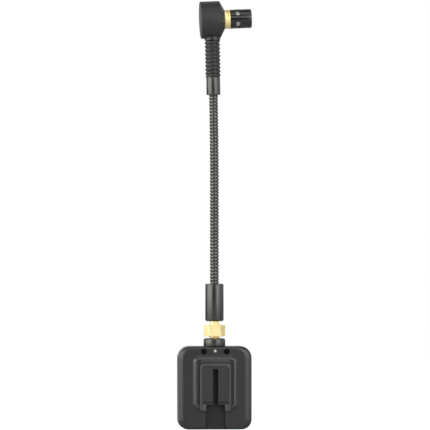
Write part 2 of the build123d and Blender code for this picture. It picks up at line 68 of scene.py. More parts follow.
# Measures in millimetres, and turns in degrees. The housing's own frame has the arm's axis
# as its Z, and its underside at 0.
ARM_Y = 6.425
UNDERSIDE_Z = -9.1
HOUSING = Matrix.Translation((0, ARM_Y * MM, UNDERSIDE_Z * MM))
WIDE = 36.6
HIGH = 41.5
NEAR = -6.5
FAR = 6.5
PARTING = 3.2
WALL = 1.4
ROOF = 1.6
TOP_CORNER = 5.8
LOW_CORNER = 5.0
INNER_TOP_CORNER = 4.4
INNER_LOW_CORNER = 3.6
RIM_ASIDE = 3.9
RIM_UP = 1.5
RIM_DEPTH = 2.4
SEAT = -7.45
POCKET_FLOOR = -5.4
PLATE_LOW = 12.45
PLATE_HIGH = 31.7
SCREW_X = 5.7
SCREW_Z = 38.9
LAMP_Z = 39.2
BUTTON_X = 11.0
BUTTON_Z = 32.6
SLEEVE_TOP = 10.6
THREAD_PITCH = 0.75
COIL_PITCH = 1.653
COIL_JOINTS = 12
RIB_PITCH = 1.89
NECK_LENGTH = 19.15
NECK_LEAN = -2.4
VENT_TURNS = (42, 138, 222, 318)
VENT_SPAN = 52
MESH_START = 11.4
MESH_LENGTH = 3.9


# Shader expressions ------------------------------------------------------------------

class Value:
    """A socket or a number in a shader expression."""

    def __init__(self, tree, socket):
        self.tree = tree
        self.socket = socket

    def maths(self, operation, *others, clamp=False):
        settings = {"operation": operation, "use_clamp": clamp}
        return node(self.tree, "ShaderNodeMath", settings, [self, *others])

    def __add__(self, other):
        return self.maths("ADD", other)

    def __radd__(self, other):
        return self.maths("ADD", other)

    def __sub__(self, other):
        return self.maths("SUBTRACT", other)

    def __rsub__(self, other):
        return node(self.tree, "ShaderNodeMath", {"operation": "SUBTRACT"}, [other, self])

    def __mul__(self, other):
        return self.maths("MULTIPLY", other)

    def __rmul__(self, other):
        return self.maths("MULTIPLY", other)

    def fraction(self):
        return self.maths("FRACT")

    def size(self):
        return self.maths("ABSOLUTE")

    def clamped(self):
        return self.maths("ADD", 0.0, clamp=True)

    def step(self, low, high):
        """0 at low, 1 at high, eased between them; low above high turns it round."""
        settings = {"interpolation_type": "SMOOTHSTEP"}
        return node(self.tree, "ShaderNodeMapRange", settings, {
            "Value": self, "From Min": low, "From Max": high,
        })


def plug(tree, entry, value):
    """Links a value to a node's input, or sets the number or colour there."""
    if isinstance(value, Value):
        tree.links.new(value.socket, entry)
    else:
        entry.default_value = value


def node(tree, kind, settings=None, inputs=None, output=0):
    """Adds a node with its settings and inputs, and gives one of its outputs."""
    made = tree.nodes.new(kind)
    for name, value in (settings or {}).items():
        setattr(made, name, value)
    pairs = inputs.items() if isinstance(inputs, dict) else enumerate(inputs or [])
    for key, value in pairs:
        plug(tree, made.inputs[key], value)
    return Value(tree, made.outputs[output])


class Finish:
    """One material, with the patterns that its nodes share."""

    def __init__(self, name, **constants):
        self.material = bpy.data.materials.new(name)
        self.material.use_nodes = True
        self.tree = self.material.node_tree
        self.shader = self.tree.nodes["Principled BSDF"]
        for key, value in constants.items():
            self.shader.inputs[key.replace("_", " ")].default_value = value

    def place(self, kind="Object"):
        return node(self.tree, "ShaderNodeTexCoord", output=kind)

    def noise(self, scale, detail=3.0, rough=0.5, stretch=(1, 1, 1)):
        where = node(self.tree, "ShaderNodeMapping", None, {
            "Vector": self.place(), "Scale": stretch,
        })
        return node(self.tree, "ShaderNodeTexNoise", None, {
            "Vector": where, "Scale": scale, "Detail": detail, "Roughness": rough,
        })

    def part(self, axis, kind="Object"):
        return node(self.tree, "ShaderNodeSeparateXYZ", None, [self.place(kind)], output=axis)

    def edge(self):
        """Above 0.5 on outward corners, below it in hollows."""
        return node(self.tree, "ShaderNodeNewGeometry", output="Pointiness")

    def blend(self, amount, low, high):
        """A colour from low to high; 0, 6, 7 and 2 are the colour sockets of a Mix node."""
        low, high = (
            colour if isinstance(colour, Value) else (*colour, 1.0) for colour in (low, high)
        )
        inputs = {0: amount, 6: low, 7: high}
        return node(self.tree, "ShaderNodeMix", {"data_type": "RGBA"}, inputs, output=2)

    def set(self, name, value):
        plug(self.tree, self.shader.inputs[name], value)
        return self

    def bump(self, height, strength=0.3, distance=0.0001):
        made = node(self.tree, "ShaderNodeBump", None, {
            "Height": height, "Strength": strength, "Distance": distance,
        })
        return self.set("Normal", made)


def grey(value):
    """The linear value of a grey written 0 to 255, by the usual display curve."""
    part = value / 255
    return part / 12.92 if part <= 0.04045 else ((part + 0.055) / 1.055) ** 2.4


def paint(red, green, blue):
    return (grey(red), grey(green), grey(blue))


# Finishes ----------------------------------------------------------------------------

def moulded_black():
    """Housing plastic, with painted shade in the clip bay, round the channel's foot and in the screw wells, and a
    painted highlight on the boss's outward rims.
    """
    finish = Finish("moulded housing", Metallic=0.0, Specular_IOR_Level=0.5)
    grain = finish.noise(5200, 2.0, 0.6)
    cloud = finish.noise(90, 3.0, 0.5)
    dust = finish.noise(900, 5.0, 0.7).step(0.62, 0.8)
    tone = finish.blend(cloud, paint(31, 33, 32), paint(36, 37, 36))
    tone = finish.blend(dust * 0.25, tone, paint(66, 67, 65))
    side = finish.part(0).size()
    depth = finish.part(1)
    up = finish.part(2)
    # Painted shade: the clip bay's floor, the face round the channel's foot and the screw wells are darkened where
    # shade falls in and beside the recesses.
    bay_front, bay_back = (0.0002, 0.0009), (0.0050, 0.0040)
    bay_side, bay_top = (0.0060, 0.0054), (0.0234, 0.0226)
    bay = depth.step(*bay_front) * depth.step(*bay_back) * side.step(*bay_side) * up.step(*bay_top)
    channel_back, channel_side, channel_top = (0.0040, 0.0030), (0.0085, 0.0040), (0.0032, 0.0024)
    channel = depth.step(*channel_back) * side.step(*channel_side) * up.step(*channel_top)
    screw_side, screw_up = side - SCREW_X * MM, up - (SCREW_Z + UNDERSIDE_Z) * MM
    well_rim_squared, well_back = (0.0000028, 0.0000019), (0.0030, 0.0020)
    from_screw = screw_side * screw_side + screw_up * screw_up
    well = from_screw.step(*well_rim_squared) * depth.step(*well_back)
    # dark is the painted shade of the bay, the channel and the screw wells; it darkens the base colour and raises
    # the roughness.
    dark = (bay + channel * 0.5 + well).clamped()
    # Painted highlight: the boss's outward rims and crest are lightened where the lamps catch them.
    corner, boss_depth = (0.505, 0.57), (-0.0001, -0.0004)
    painted_highlight = finish.edge().step(*corner) * depth.step(*boss_depth)
    tone = finish.blend(painted_highlight * 0.75, tone, paint(88, 90, 88))
    finish.set("Base Color", finish.blend(dark, tone, paint(7, 8, 8)))
    finish.set("Roughness", 0.27 + cloud * 0.05 + grain * 0.06 + dark * 0.4)
    return finish.bump(grain, 0.14, 0.00004).material


def coated_plate():
    """Brushed black coating, with painted shade darkening the groove across the plate's foot."""
    finish = Finish("coated plate", Metallic=0.0)
    grain = finish.noise(2600, 3.0, 0.6, (1, 1, 0.12))
    cloud = finish.noise(140, 2.0)
    tone = finish.blend(cloud, paint(30, 31, 32), paint(35, 36, 36))
    up = finish.part(2)
    # Painted shade: the groove's floor is darkened where shade falls in it.
    groove_depth, groove_low, groove_high = (-0.0016, -0.0013), (0.0039, 0.0041), (0.0049, 0.0047)
    groove = finish.part(1).step(*groove_depth) * up.step(*groove_low) * up.step(*groove_high)
    finish.set("Base Color", finish.blend(groove, tone, paint(8, 8, 8)))
    finish.set("Roughness", 0.36 + grain * 0.14)
    return finish.bump(grain, 0.10, 0.00003).material


def black_oxide():
    finish = Finish("black oxide steel", Metallic=0.85)
    grain = finish.noise(3000, 3.0)
    finish.set("Base Color", finish.blend(grain, (0.003, 0.003, 0.003), (0.008, 0.008, 0.008)))
    finish.set("Roughness", 0.30 + grain * 0.15)
    return finish.bump(grain, 0.08, 0.00002).material


def dark_nickel():
    finish = Finish("dark nickel", Metallic=1.0)
    rings = finish.noise(900, 3.0, 0.6, (0.02, 0.02, 6.0))
    haze = finish.noise(160, 3.0)
    tone = finish.blend(haze, (0.068, 0.068, 0.065), (0.086, 0.086, 0.082))
    finish.set("Base Color", tone)
    finish.set("Roughness", 0.25 + rings * 0.06 + haze * 0.04)
    return finish.bump(rings, 0.06, 0.00002).material


def plated_gold():
    finish = Finish("gold plate", Metallic=1.0)
    haze = finish.noise(220, 3.0)
    grain = finish.noise(2400, 3.0, 0.6, (1, 1, 3.0))
    patches = finish.noise(1100, 3.0, 0.6).step(0.42, 0.62)
    tone = finish.blend((haze + patches) * 0.5, (0.95, 0.71, 0.29), (1.0, 0.90, 0.55))
    finish.set("Base Color", tone)
    finish.set("Roughness", 0.42 + grain * 0.10 + haze * 0.05)
    return finish.bump(grain, 0.05, 0.00002).material


def wound_steel():
    finish = Finish("blackened wire", Metallic=1.0)
    haze = finish.noise(300, 3.0)
    grain = finish.noise(2600, 3.0)
    tone = finish.blend(haze, (0.085, 0.085, 0.080), (0.13, 0.13, 0.124))
    finish.set("Base Color", tone)
    finish.set("Roughness", 0.15 + grain * 0.10)
    return finish.bump(grain, 0.08, 0.00002).material


def neck_rubber():
    finish = Finish("moulded rubber", Metallic=0.0, Specular_IOR_Level=0.55)
    dust = finish.noise(500, 4.0, 0.65)
    grain = finish.noise(4200, 3.0)
    tone = finish.blend(dust.step(0.4, 0.75), paint(14, 15, 14), paint(25, 26, 24))
    finish.set("Base Color", tone)
    finish.set("Roughness", 0.32 + dust * 0.12)
    return finish.bump(grain, 0.12, 0.00003).material


def soft_black():
    finish = Finish("soft-touch head", Metallic=0.0, Specular_IOR_Level=0.5)
    cloud = finish.noise(120, 3.0)
    turning = finish.noise(700, 2.0, 0.5, (4, 0.02, 0.02))
    finish.set("Base Color", finish.blend(cloud, paint(22, 23, 22), paint(27, 28, 26)))
    finish.set("Roughness", 0.44 + turning * 0.12 + cloud * 0.04)
    return finish.bump(turning, 0.22, 0.00005).material


def gloss_black():
    finish = Finish(
        "gloss black", Metallic=0.0, Specular_IOR_Level=0.5, Coat_Weight=0.15, Coat_Roughness=0.08,
    )
    haze = finish.noise(200, 3.0)
    finish.set("Base Color", finish.blend(haze, (0.003, 0.003, 0.0028), (0.006, 0.006, 0.0055)))
    finish.set("Roughness", 0.13 + haze * 0.06)
    return finish.bump(finish.noise(1800, 2.0), 0.03, 0.00002).material


def woven_mesh():
    """Wires round the tube and along it, laid on the piece's own map."""
    finish = Finish("woven mesh", Metallic=0.4)
    wires_round, wires_along = 46, 12
    wire_edge = (0.16, 0.34)
    warp = ((finish.part(0, "UV") * wires_round).fraction() - 0.5).size().step(*wire_edge)
    weft = ((finish.part(1, "UV") * wires_along).fraction() - 0.5).size().step(*wire_edge)
    wires = (warp + weft).clamped()
    finish.set("Base Color", finish.blend(wires, (0.22, 0.22, 0.20), (0.48, 0.48, 0.43)))
    finish.set("Roughness", 0.62 - wires * 0.34)
    return finish.bump(wires, 0.5, 0.00006).material


def clear_window():
    finish = Finish("clear window", Metallic=0.0, Transmission_Weight=0.85, IOR=1.49)
    haze = finish.noise(400, 2.0)
    finish.set("Base Color", finish.blend(haze, (0.85, 0.87, 0.9), (0.95, 0.96, 0.97)))
    finish.set("Roughness", 0.06 + haze * 0.08)
    return finish.material


def speckled(name, low, high, rough, metallic=0.0, scale=800, strength=0.1):
    finish = Finish(name, Metallic=metallic)
    grain = finish.noise(scale, 4.0, 0.6)
    finish.set("Base Color", finish.blend(grain, low, high))
    finish.set("Roughness", rough + grain * 0.12)
    return finish.bump(grain, strength, 0.00003).material


SHELL = moulded_black()
PLATE = coated_plate()
BLACK_STEEL = black_oxide()
GUNMETAL = dark_nickel()
GOLD = plated_gold()
WIRE = wound_steel()
RUBBER = neck_rubber()
HEAD = soft_black()
GLOSS = gloss_black()
MESH = woven_mesh()
CLEAR = clear_window()
SEAL = speckled("seal rubber", (0.010, 0.010, 0.010), (0.022, 0.022, 0.022), 0.6)
BOARD = speckled("solder mask", (0.008, 0.05, 0.02), (0.016, 0.085, 0.035), 0.35, scale=300)
EPOXY = speckled("moulded epoxy", (0.012, 0.012, 0.012), (0.03, 0.03, 0.03), 0.5)
TIN = speckled("tinned steel", (0.45, 0.45, 0.44), (0.62, 0.62, 0.6), 0.3, 1.0)
FOIL = speckled("foil pouch", (0.42, 0.43, 0.45), (0.6, 0.61, 0.63), 0.34, 0.9, 260, 0.3)
FOAM = speckled("foam tape", (0.03, 0.03, 0.03), (0.08, 0.08, 0.08), 0.8, scale=2400, strength=0.5)
COPPER = speckled("bare copper", (0.62, 0.33, 0.2), (0.75, 0.45, 0.3), 0.32, 1.0)
WHITE = speckled("white insulator", (0.68, 0.68, 0.66), (0.78, 0.78, 0.76), 0.4)
DIFFUSER = speckled(
    "milky lens", (0.55, 0.55, 0.50), (0.7, 0.7, 0.66), 0.12, scale=500, strength=0.03,
)
LAMP = speckled("lamp body", (0.62, 0.6, 0.5), (0.72, 0.7, 0.6), 0.35)
CAN = speckled("element can", (0.5, 0.5, 0.5), (0.65, 0.65, 0.65), 0.3, 1.0)

NODE_FINISH = {
    "housing": SHELL,
    "guide_plate": PLATE,
    "black_steel": BLACK_STEEL,
    "clear": CLEAR,
    "lamp": LAMP,
    "seal": SEAL,
    "board": BOARD,
    "chip": EPOXY,
    "tin": TIN,
    "cell": FOIL,
    "foam": FOAM,
    "nickel": TIN,
    "copper": COPPER,
    "gold": GOLD,
    "gunmetal": GUNMETAL,
    "white_plastic": WHITE,
    "coil_steel": WIRE,
    "neck_rubber": RUBBER,
    "head_black": HEAD,
    "gloss_black": GLOSS,
    "mesh": MESH,
    "element": CAN,
}


def dress_nodes():
    """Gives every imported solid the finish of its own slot."""
    slots = {row["node"]: row["material_slot"] for row in frame["record"]["subparts"]}
    for name, piece in frame["nodes"].items():
        piece.data.materials.clear()
        piece.data.materials.append(NODE_FINISH[slots[name]])


# Tools for modelling -----------------------------------------------------------------

def clear_selection():
    if bpy.context.object and bpy.context.object.mode != "OBJECT":
        bpy.ops.object.mode_set(mode="OBJECT")
    bpy.ops.object.select_all(action="DESELECT")


def choose(piece):
    """Selects the piece alone and makes it the active one."""
    clear_selection()
    bpy.context.view_layer.objects.active = piece
    piece.select_set(True)


def open_whole(piece):
    """Opens the piece for editing with all of it selected."""
    choose(piece)
    bpy.ops.object.mode_set(mode="EDIT")
    bpy.ops.mesh.select_all(action="SELECT")


def apply_modifier(piece, kind, **settings):
    modifier = piece.modifiers.new(kind.title(), kind)
    for key, value in settings.items():
        setattr(modifier, key, value)
    choose(piece)
    bpy.ops.object.modifier_apply(modifier=modifier.name)


MERGE_SEAM = {"use_merge_vertices": True, "merge_threshold": 0.000001}


def sweep_round(piece, steps, rise=0, turns=1, **settings):
    """Sweeps an outline round Z, rising by so many millimetres for each turn."""
    apply_modifier(
        piece, "SCREW", angle=math.tau, steps=steps, render_steps=steps, screw_offset=rise * MM,
        iterations=turns, axis="Z", **settings,
    )


def settle(piece):
    """Applies the object's place, so that it sits at the origin unturned."""
    piece.data.transform(piece.matrix_world)
    piece.matrix_world = Matrix.Identity(4)


def tidy_mesh(piece):
    """Merges doubled corners and turns every face outwards."""
    open_whole(piece)
    bpy.ops.mesh.remove_doubles(threshold=0.000002)
    bpy.ops.mesh.normals_make_consistent(inside=False)
    bpy.ops.object.mode_set(mode="OBJECT")


def outline(name, corners, roundings=()):
    """A closed outline in the X-Z plane, in millimetres, with its corners rounded by bevels."""
    clear_selection()
    bpy.ops.mesh.primitive_circle_add(vertices=len(corners), radius=0.01)
    piece = bpy.context.object
    piece.name = name
    for vertex, (across, up) in zip(piece.data.vertices, corners):
        vertex.co = (across * MM, 0, up * MM)
    for size in sorted({size for size in roundings if size > 0}):
        spots = [corner for corner, own in zip(corners, roundings) if own == size]
        bpy.ops.object.mode_set(mode="EDIT")
        bpy.ops.mesh.select_all(action="DESELECT")
        bpy.ops.object.mode_set(mode="OBJECT")
        for vertex in piece.data.vertices:
            here = (vertex.co.x / MM, vertex.co.z / MM)
            vertex.select = any(math.dist(here, spot) < 1e-4 for spot in spots)
        bpy.ops.object.mode_set(mode="EDIT")
        bpy.ops.mesh.bevel(affect="VERTICES", offset=size * MM, segments=4, profile=0.5)
        bpy.ops.object.mode_set(mode="OBJECT")
    return piece


def turned(name, corners, roundings=(), steps=96, along="Z"):
    """A body turned from a closed outline of (radius, height) corners in millimetres."""
    piece = outline(name, corners, roundings)
    sweep_round(piece, steps, **MERGE_SEAM)
    tidy_mesh(piece)
    if along == "X":
        piece.data.transform(Matrix.Rotation(math.pi / 2, 4, "Y"))
    return piece


def pick(piece, kind, test):
    """Opens the piece for editing with only the vertices, edges or faces that pass the test."""
    choose(piece)
    bpy.context.tool_settings.mesh_select_mode = (kind == "VERT", kind == "EDGE", kind == "FACE")
    mesh = piece.data
    groups = {"VERT": mesh.vertices, "EDGE": mesh.edges, "FACE": mesh.polygons}
    for group in groups.values():
        for item in group:
            item.select = False
    for item in groups[kind]:
        item.select = test(item)
    bpy.ops.object.mode_set(mode="EDIT")


def done_editing():
    bpy.ops.object.mode_set(mode="OBJECT")
    bpy.context.tool_settings.mesh_select_mode = (True, False, False)


def block(name, low, high):
    """A box between two opposite corners, in millimetres."""
    clear_selection()
    middle = [(a + b) / 2 * MM for a, b in zip(low, high)]
    size = [(b - a) * MM for a, b in zip(low, high)]
    bpy.ops.mesh.primitive_cube_add(size=1, location=middle, scale=size)
    piece = bpy.context.object
    piece.name = name
    settle(piece)
    return piece


def round_edges(piece, test, size, segments=4):
    """Bevels the edges whose two ends, in millimetres, pass the test."""
    spots = [vertex.co / MM for vertex in piece.data.vertices]
    pick(piece, "EDGE", lambda edge: test(spots[edge.vertices[0]], spots[edge.vertices[1]]))
    bpy.ops.mesh.bevel(
        affect="EDGES", offset=size * MM, segments=segments, profile=0.5, clamp_overlap=False,
    )
    done_editing()


def same(a, b):
    return abs(a - b) < 0.001


def along_y(a, b):
    return same(a.x, b.x) and same(a.z, b.z)


def along_z(a, b):
    return same(a.x, b.x) and same(a.y, b.y)


def at_depth(depth):
    return lambda a, b: same(a.y, depth) and same(b.y, depth)


def rounded_block(name, low, high, top_round, low_round, segments=8):
    """A block with its upper and lower corners rounded, seen along Y."""
    piece = block(name, low, high)
    middle = (low[2] + high[2]) / 2
    round_edges(piece, lambda a, b: along_y(a, b) and a.z > middle, top_round, segments)
    round_edges(piece, lambda a, b: along_y(a, b) and a.z < middle, low_round, segments)
    return piece


def rod_along_y(name, radius, x, z, near, far, steps=48):
    """A round rod through x and z, from near to far."""
    clear_selection()
    bpy.ops.mesh.primitive_cylinder_add(
        vertices=steps, radius=radius * MM, depth=(far - near) * MM,
        location=(x * MM, (near + far) / 2 * MM, z * MM), rotation=(math.pi / 2, 0, 0),
    )
    piece = bpy.context.object
    piece.name = name
    settle(piece)
    return piece


def close_ends(piece):
    """Caps the two open ends of a wound ridge or wire."""
    open_whole(piece)
    bpy.ops.mesh.remove_doubles(threshold=0.000001)
    bpy.ops.mesh.select_all(action="DESELECT")
    bpy.ops.mesh.select_non_manifold(
        extend=False, use_wire=False, use_multi_face=False, use_non_contiguous=False,
        use_verts=False,
    )
    bpy.ops.mesh.edge_face_add()
    bpy.ops.mesh.select_all(action="SELECT")
    bpy.ops.mesh.normals_make_consistent(inside=False)
    bpy.ops.object.mode_set(mode="OBJECT")


def join(items):
    clear_selection()
    for item in items:
        item.select_set(True)
    bpy.context.view_layer.objects.active = items[0]
    bpy.ops.object.join()
    return items[0]


def carve(piece, cutter, operation="DIFFERENCE"):
    apply_modifier(piece, "BOOLEAN", object=cutter, operation=operation, solver="EXACT")
    bpy.data.objects.remove(cutter, do_unlink=True)


def trim(piece, low, high):
    """Cuts the piece off flat at both heights, in millimetres, and closes the cuts."""
    open_whole(piece)
    for height, upward in ((low, False), (high, True)):
        bpy.ops.mesh.select_all(action="SELECT")
        bpy.ops.mesh.bisect(
            plane_co=(0, 0, height * MM), plane_no=(0, 0, 1), use_fill=True,
            clear_outer=upward, clear_inner=not upward, threshold=0.0000001,
        )
    bpy.ops.object.mode_set(mode="OBJECT")


def drop_edge(piece, first, last):
    """Opens a closed outline by removing the edge between its first and last corners."""
    pick(piece, "EDGE", lambda edge: set(edge.vertices) == {first, last})
    bpy.ops.mesh.delete(type="EDGE_FACE")
    done_editing()


def finish_piece(piece, material, place, body, nodes, angle=35, broad=False):
    """Gives the piece its place and finish, and its body where one is given.

    Edges sharper than the angle stay sharp, and broad keeps large flats evenly shaded."""
    piece.data.transform(place)
    piece.data.materials.clear()
    piece.data.materials.append(material)
    choose(piece)
    bpy.ops.object.shade_smooth_by_angle(angle=math.radians(angle))
    if broad:
        apply_modifier(piece, "WEIGHTED_NORMAL", weight=50, keep_sharp=True)
    if body:
        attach(piece, body)
    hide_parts(*nodes)


# Where each body's own frame lies ----------------------------------------------------

def leaning_frame(origin, towards):
    """A frame at origin with its Z towards another point in the X-Z plane."""
    direction = towards - origin
    lean = math.atan2(direction.x, direction.z)
    return Matrix.Translation(origin) @ Matrix.Rotation(lean, 4, "Y")


HINGES = [
    Vector(JOINTS[f"bend_{number:02d}"]["pos_m"]) for number in range(1, COIL_JOINTS + 1)
]
NECK_POINT = Vector(JOINTS["neck_flex"]["pos_m"])
TIP = leaning_frame(HINGES[-1], NECK_POINT)
NECK = Matrix.Translation(NECK_POINT) @ Matrix.Rotation(math.radians(NECK_LEAN), 4, "Y")
NECK_REST = NECK_LENGTH / 2
HEAD_RADIUS = 9.3
HEAD_GAP = 0.05
HEAD_FRAME = NECK @ Matrix.Translation((0, 0, (NECK_REST + HEAD_RADIUS + HEAD_GAP) * MM))


# Camera and light --------------------------------------------------------------------

VIEW_TURN = -4.5
VIEW_DISTANCE = 2.5
VIEW_AIM = Vector((0.3, 6.4, 97.75)) * MM
PANEL_CENTRE = Vector((0, 6.4, 97)) * MM
PANEL_DISTANCE = 0.9
PANELS_TURN = -5
PANELS = [
    # name, turn from the camera's side and lift in degrees, width, height, power, colour
    ("left panel", -64, 6, 1.26, 1.1, 16.5, (1.0, 0.985, 0.95)),
    ("right panel", 42, 6, 0.66, 1.1, 7.2, (0.97, 0.985, 1.0)),
    ("far right panel", 90, 6, 0.96, 1.1, 3.6, (0.95, 0.975, 1.0)),
    ("front panel", 8, 28, 0.6, 0.36, 1.2, (1, 1, 1)),
    ("top panel", 0, 68, 1.0, 0.6, 2.6, (1, 1, 1)),
]


def light_panel(name, turn, lift, wide, tall, power, colour):
    """A soft panel round the object: turn is from the camera's side, positive to its right."""
    heading = math.radians(turn + PANELS_TURN)
    rise = math.radians(lift)
    direction = Vector((
        math.sin(heading) * math.cos(rise), -math.cos(heading) * math.cos(rise), math.sin(rise),
    ))
    lamp = bpy.data.lights.new(name, "AREA")
    lamp.shape = "RECTANGLE"
    lamp.size = wide
    lamp.size_y = tall
    lamp.energy = power
    lamp.color = colour
    panel = bpy.data.objects.new(name, lamp)
    bpy.context.collection.objects.link(panel)
    panel.location = PANEL_CENTRE + direction * PANEL_DISTANCE
    panel.rotation_euler = direction.to_track_quat("Z", "Y").to_euler()
    panel.visible_camera = False


def make_camera():
    camera = bpy.data.cameras.new("camera")
    camera.lens = 419.4
    camera.sensor_width = 36
    camera.clip_start = 0.01
    holder = bpy.data.objects.new("camera", camera)
    bpy.context.collection.objects.link(holder)
    turn = math.radians(VIEW_TURN)
    direction = Vector((math.sin(turn), -math.cos(turn), 0))
    holder.location = VIEW_AIM + direction * VIEW_DISTANCE
    holder.rotation_euler = (math.pi / 2, 0, turn)
    bpy.context.scene.camera = holder


def make_world():
    """White behind the object and a low glow round it; gloss mirrors the white only far behind."""
    world = bpy.data.worlds.new("studio")
    bpy.context.scene.world = world
    world.use_nodes = True
    tree = world.node_tree
    tree.nodes.clear()
    rays = tree.nodes.new("ShaderNodeLightPath")
    seen = Value(tree, rays.outputs["Is Camera Ray"])
    through = Value(tree, rays.outputs["Is Transmission Ray"])
    mirrored = Value(tree, rays.outputs["Is Glossy Ray"])
    direction = node(tree, "ShaderNodeTexCoord", output="Generated")
    towards_back = node(tree, "ShaderNodeSeparateXYZ", None, [direction], output=1)
    backdrop = towards_back.step(0.35, 0.75)
    glow, white = (
        node(tree, "ShaderNodeBackground", None, {"Color": (1, 1, 1, 1), "Strength": strength})
        for strength in (0.12, 1.0)
    )
    shown = (seen + through + mirrored * backdrop).clamped()
    both = node(tree, "ShaderNodeMixShader", None, [shown, glow, white])
    output = tree.nodes.new("ShaderNodeOutputWorld")
    tree.links.new(both.socket, output.inputs["Surface"])


def make_floor():
    """A pale floor that keeps the object's shadow and is seen as nearly white."""
    gap = 0.0002
    clear_selection()
    bpy.ops.mesh.primitive_plane_add(size=12, location=(0, 0, cad_box[0][2] - gap))
    floor = bpy.context.object
    floor.name = "floor"
    settle(floor)
    finish = Finish("pale floor", Roughness=0.9, Specular_IOR_Level=0.1)
    finish.set("Base Color", finish.blend(finish.noise(3), (0.60, 0.60, 0.60), (0.66, 0.66, 0.66)))
    tree = finish.tree
    rays = tree.nodes.new("ShaderNodeLightPath")
    seen = Value(tree, rays.outputs["Is Camera Ray"])
    white = node(tree, "ShaderNodeEmission", None, {"Color": (1, 1, 1, 1), "Strength": 1.1})
    body = Value(tree, finish.shader.outputs[0])
    both = node(tree, "ShaderNodeMixShader", None, [seen * 0.92, body, white])
    tree.links.new(both.socket, tree.nodes["Material Output"].inputs["Surface"])
    floor.data.materials.append(finish.material)


# Housing -----------------------------------------------------------------------------

def pick_near_face(piece):
    """Opens the piece for editing with only its face nearest to -Y."""
    depths = [vertex.co.y for vertex in piece.data.vertices]
    near = min(depths) + 1e-7
    pick(piece, "FACE", lambda face: all(depths[index] < near for index in face.vertices))


def terrace(piece, steps):
    """Insets the near face and lifts it towards -Y, once for each (inset, lift) step."""
    pick_near_face(piece)
    for inset, lift in steps:
        bpy.ops.mesh.inset(thickness=inset * MM, depth=0)
        bpy.ops.transform.translate(value=(0, -lift * MM, 0))
    done_editing()


def crown(piece, aside, upward, depth, steps=9):
    """Rolls the near face's rim over: it comes in aside and upward, and rises by depth."""
    pick_near_face(piece)
    half = (WIDE / 2, HIGH / 2)
    centre = (0, 0, HIGH / 2 * MM)
    for number in range(steps):
        before, after = (math.pi / 2 * place / steps for place in (number, number + 1))
        bpy.ops.mesh.extrude_region_move(TRANSFORM_OT_translate={
            "value": (0, -depth * (math.sin(after) - math.sin(before)) * MM, 0),
        })
        across, up = (
            (size - come * (1 - math.cos(after))) / (size - come * (1 - math.cos(before)))
            for size, come in zip(half, (aside, upward))
        )
        bpy.ops.transform.resize(value=(across, 1, up), center_override=centre)
    done_editing()


def boss_tier():
    """The wide step with a soft crest, and the valley beside the pocket frame."""
    tier = rounded_block("boss_tier", (-11.3, NEAR, 9.7), (11.3, NEAR + 1.0, 37.0), 3.6, 3.2)
    terrace(tier, [
        (0.15, 0.12), (0.3, 0.26), (0.3, 0.38), (0.3, 0.28), (0.3, 0.16), (0.35, 0.09), (0.4, 0.03),
        (0.12, -0.1), (0.1, -0.35), (0.1, -0.35),
    ])
    return tier


def boss_top():
    """The flat that fills the valley above the pocket frame."""
    fill = rounded_block("boss_top", (-7.4, NEAR - 1.1, 31.5), (7.4, NEAR + 0.5, 35.1), 1.2, 0.2)
    round_edges(fill, at_depth(NEAR - 1.1), 0.15, 2)
    return fill


def pocket_frame():
    frame_block = rounded_block(
        "pocket_frame", (-7.75, -7.8, 9.1), (7.75, NEAR + 1.2, 32.95), 2.0, 1.3,
    )
    terrace(frame_block, [(0.1, 0.22), (0.15, 0.18), (0.28, 0.13), (0.3, 0.06)])
    return frame_block


def pocket_cutters():
    """The plate's seat, the bay that the clip fills, and the channel, open at its foot."""
    play = 0.05
    seat = rounded_block(
        "seat", (-6.35, -10, PLATE_LOW - play), (6.35, SEAT, PLATE_HIGH + play), 1.0, 0.1, 5,
    )
    bay = block("bay", (-4.75, -8, 5), (4.75, POCKET_FLOOR, 31.1))
    channel = block("channel", (-4.65, -10, -1), (4.65, POCKET_FLOOR, PLATE_LOW + 0.02))
    pick(channel, "VERT", lambda vertex: vertex.co.z < 0)
    bpy.ops.transform.resize(value=(1.12, 1, 1), center_override=(0, 0, 0))
    done_editing()
    return [seat, bay, channel]


def countersink(x, z, radius):
    """A recess with a small bevelled rim, cut into the near face."""
    bevel = 0.14
    cutter = rod_along_y("countersink", radius, x, z, NEAR - 1, NEAR + 1.1)
    rim = rod_along_y("countersink_rim", radius + bevel, x, z, NEAR - 1, NEAR + bevel)
    pick(rim, "VERT", lambda vertex: vertex.co.y > NEAR * MM)
    narrow = radius / (radius + bevel)
    bpy.ops.transform.resize(value=(narrow, 1, narrow), center_override=(x * MM, 0, z * MM))
    done_editing()
    return [cutter, rim]


def half_shell(name, near, far):
    """One half of the housing, still solid."""
    return rounded_block(
        name, (-WIDE / 2, near, 0), (WIDE / 2, far, HIGH), TOP_CORNER, LOW_CORNER, 10,
    )


def hollow_out(shell, near, far):
    """Eases the parting edge and cuts the inside out, down to the wall and the thicker roof."""
    round_edges(shell, at_depth(PARTING), 0.1, 1)
    carve(shell, rounded_block(
        "inside", (-WIDE / 2 + WALL, near, WALL), (WIDE / 2 - WALL, far, HIGH - ROOF),
        INNER_TOP_CORNER, INNER_LOW_CORNER,
    ))


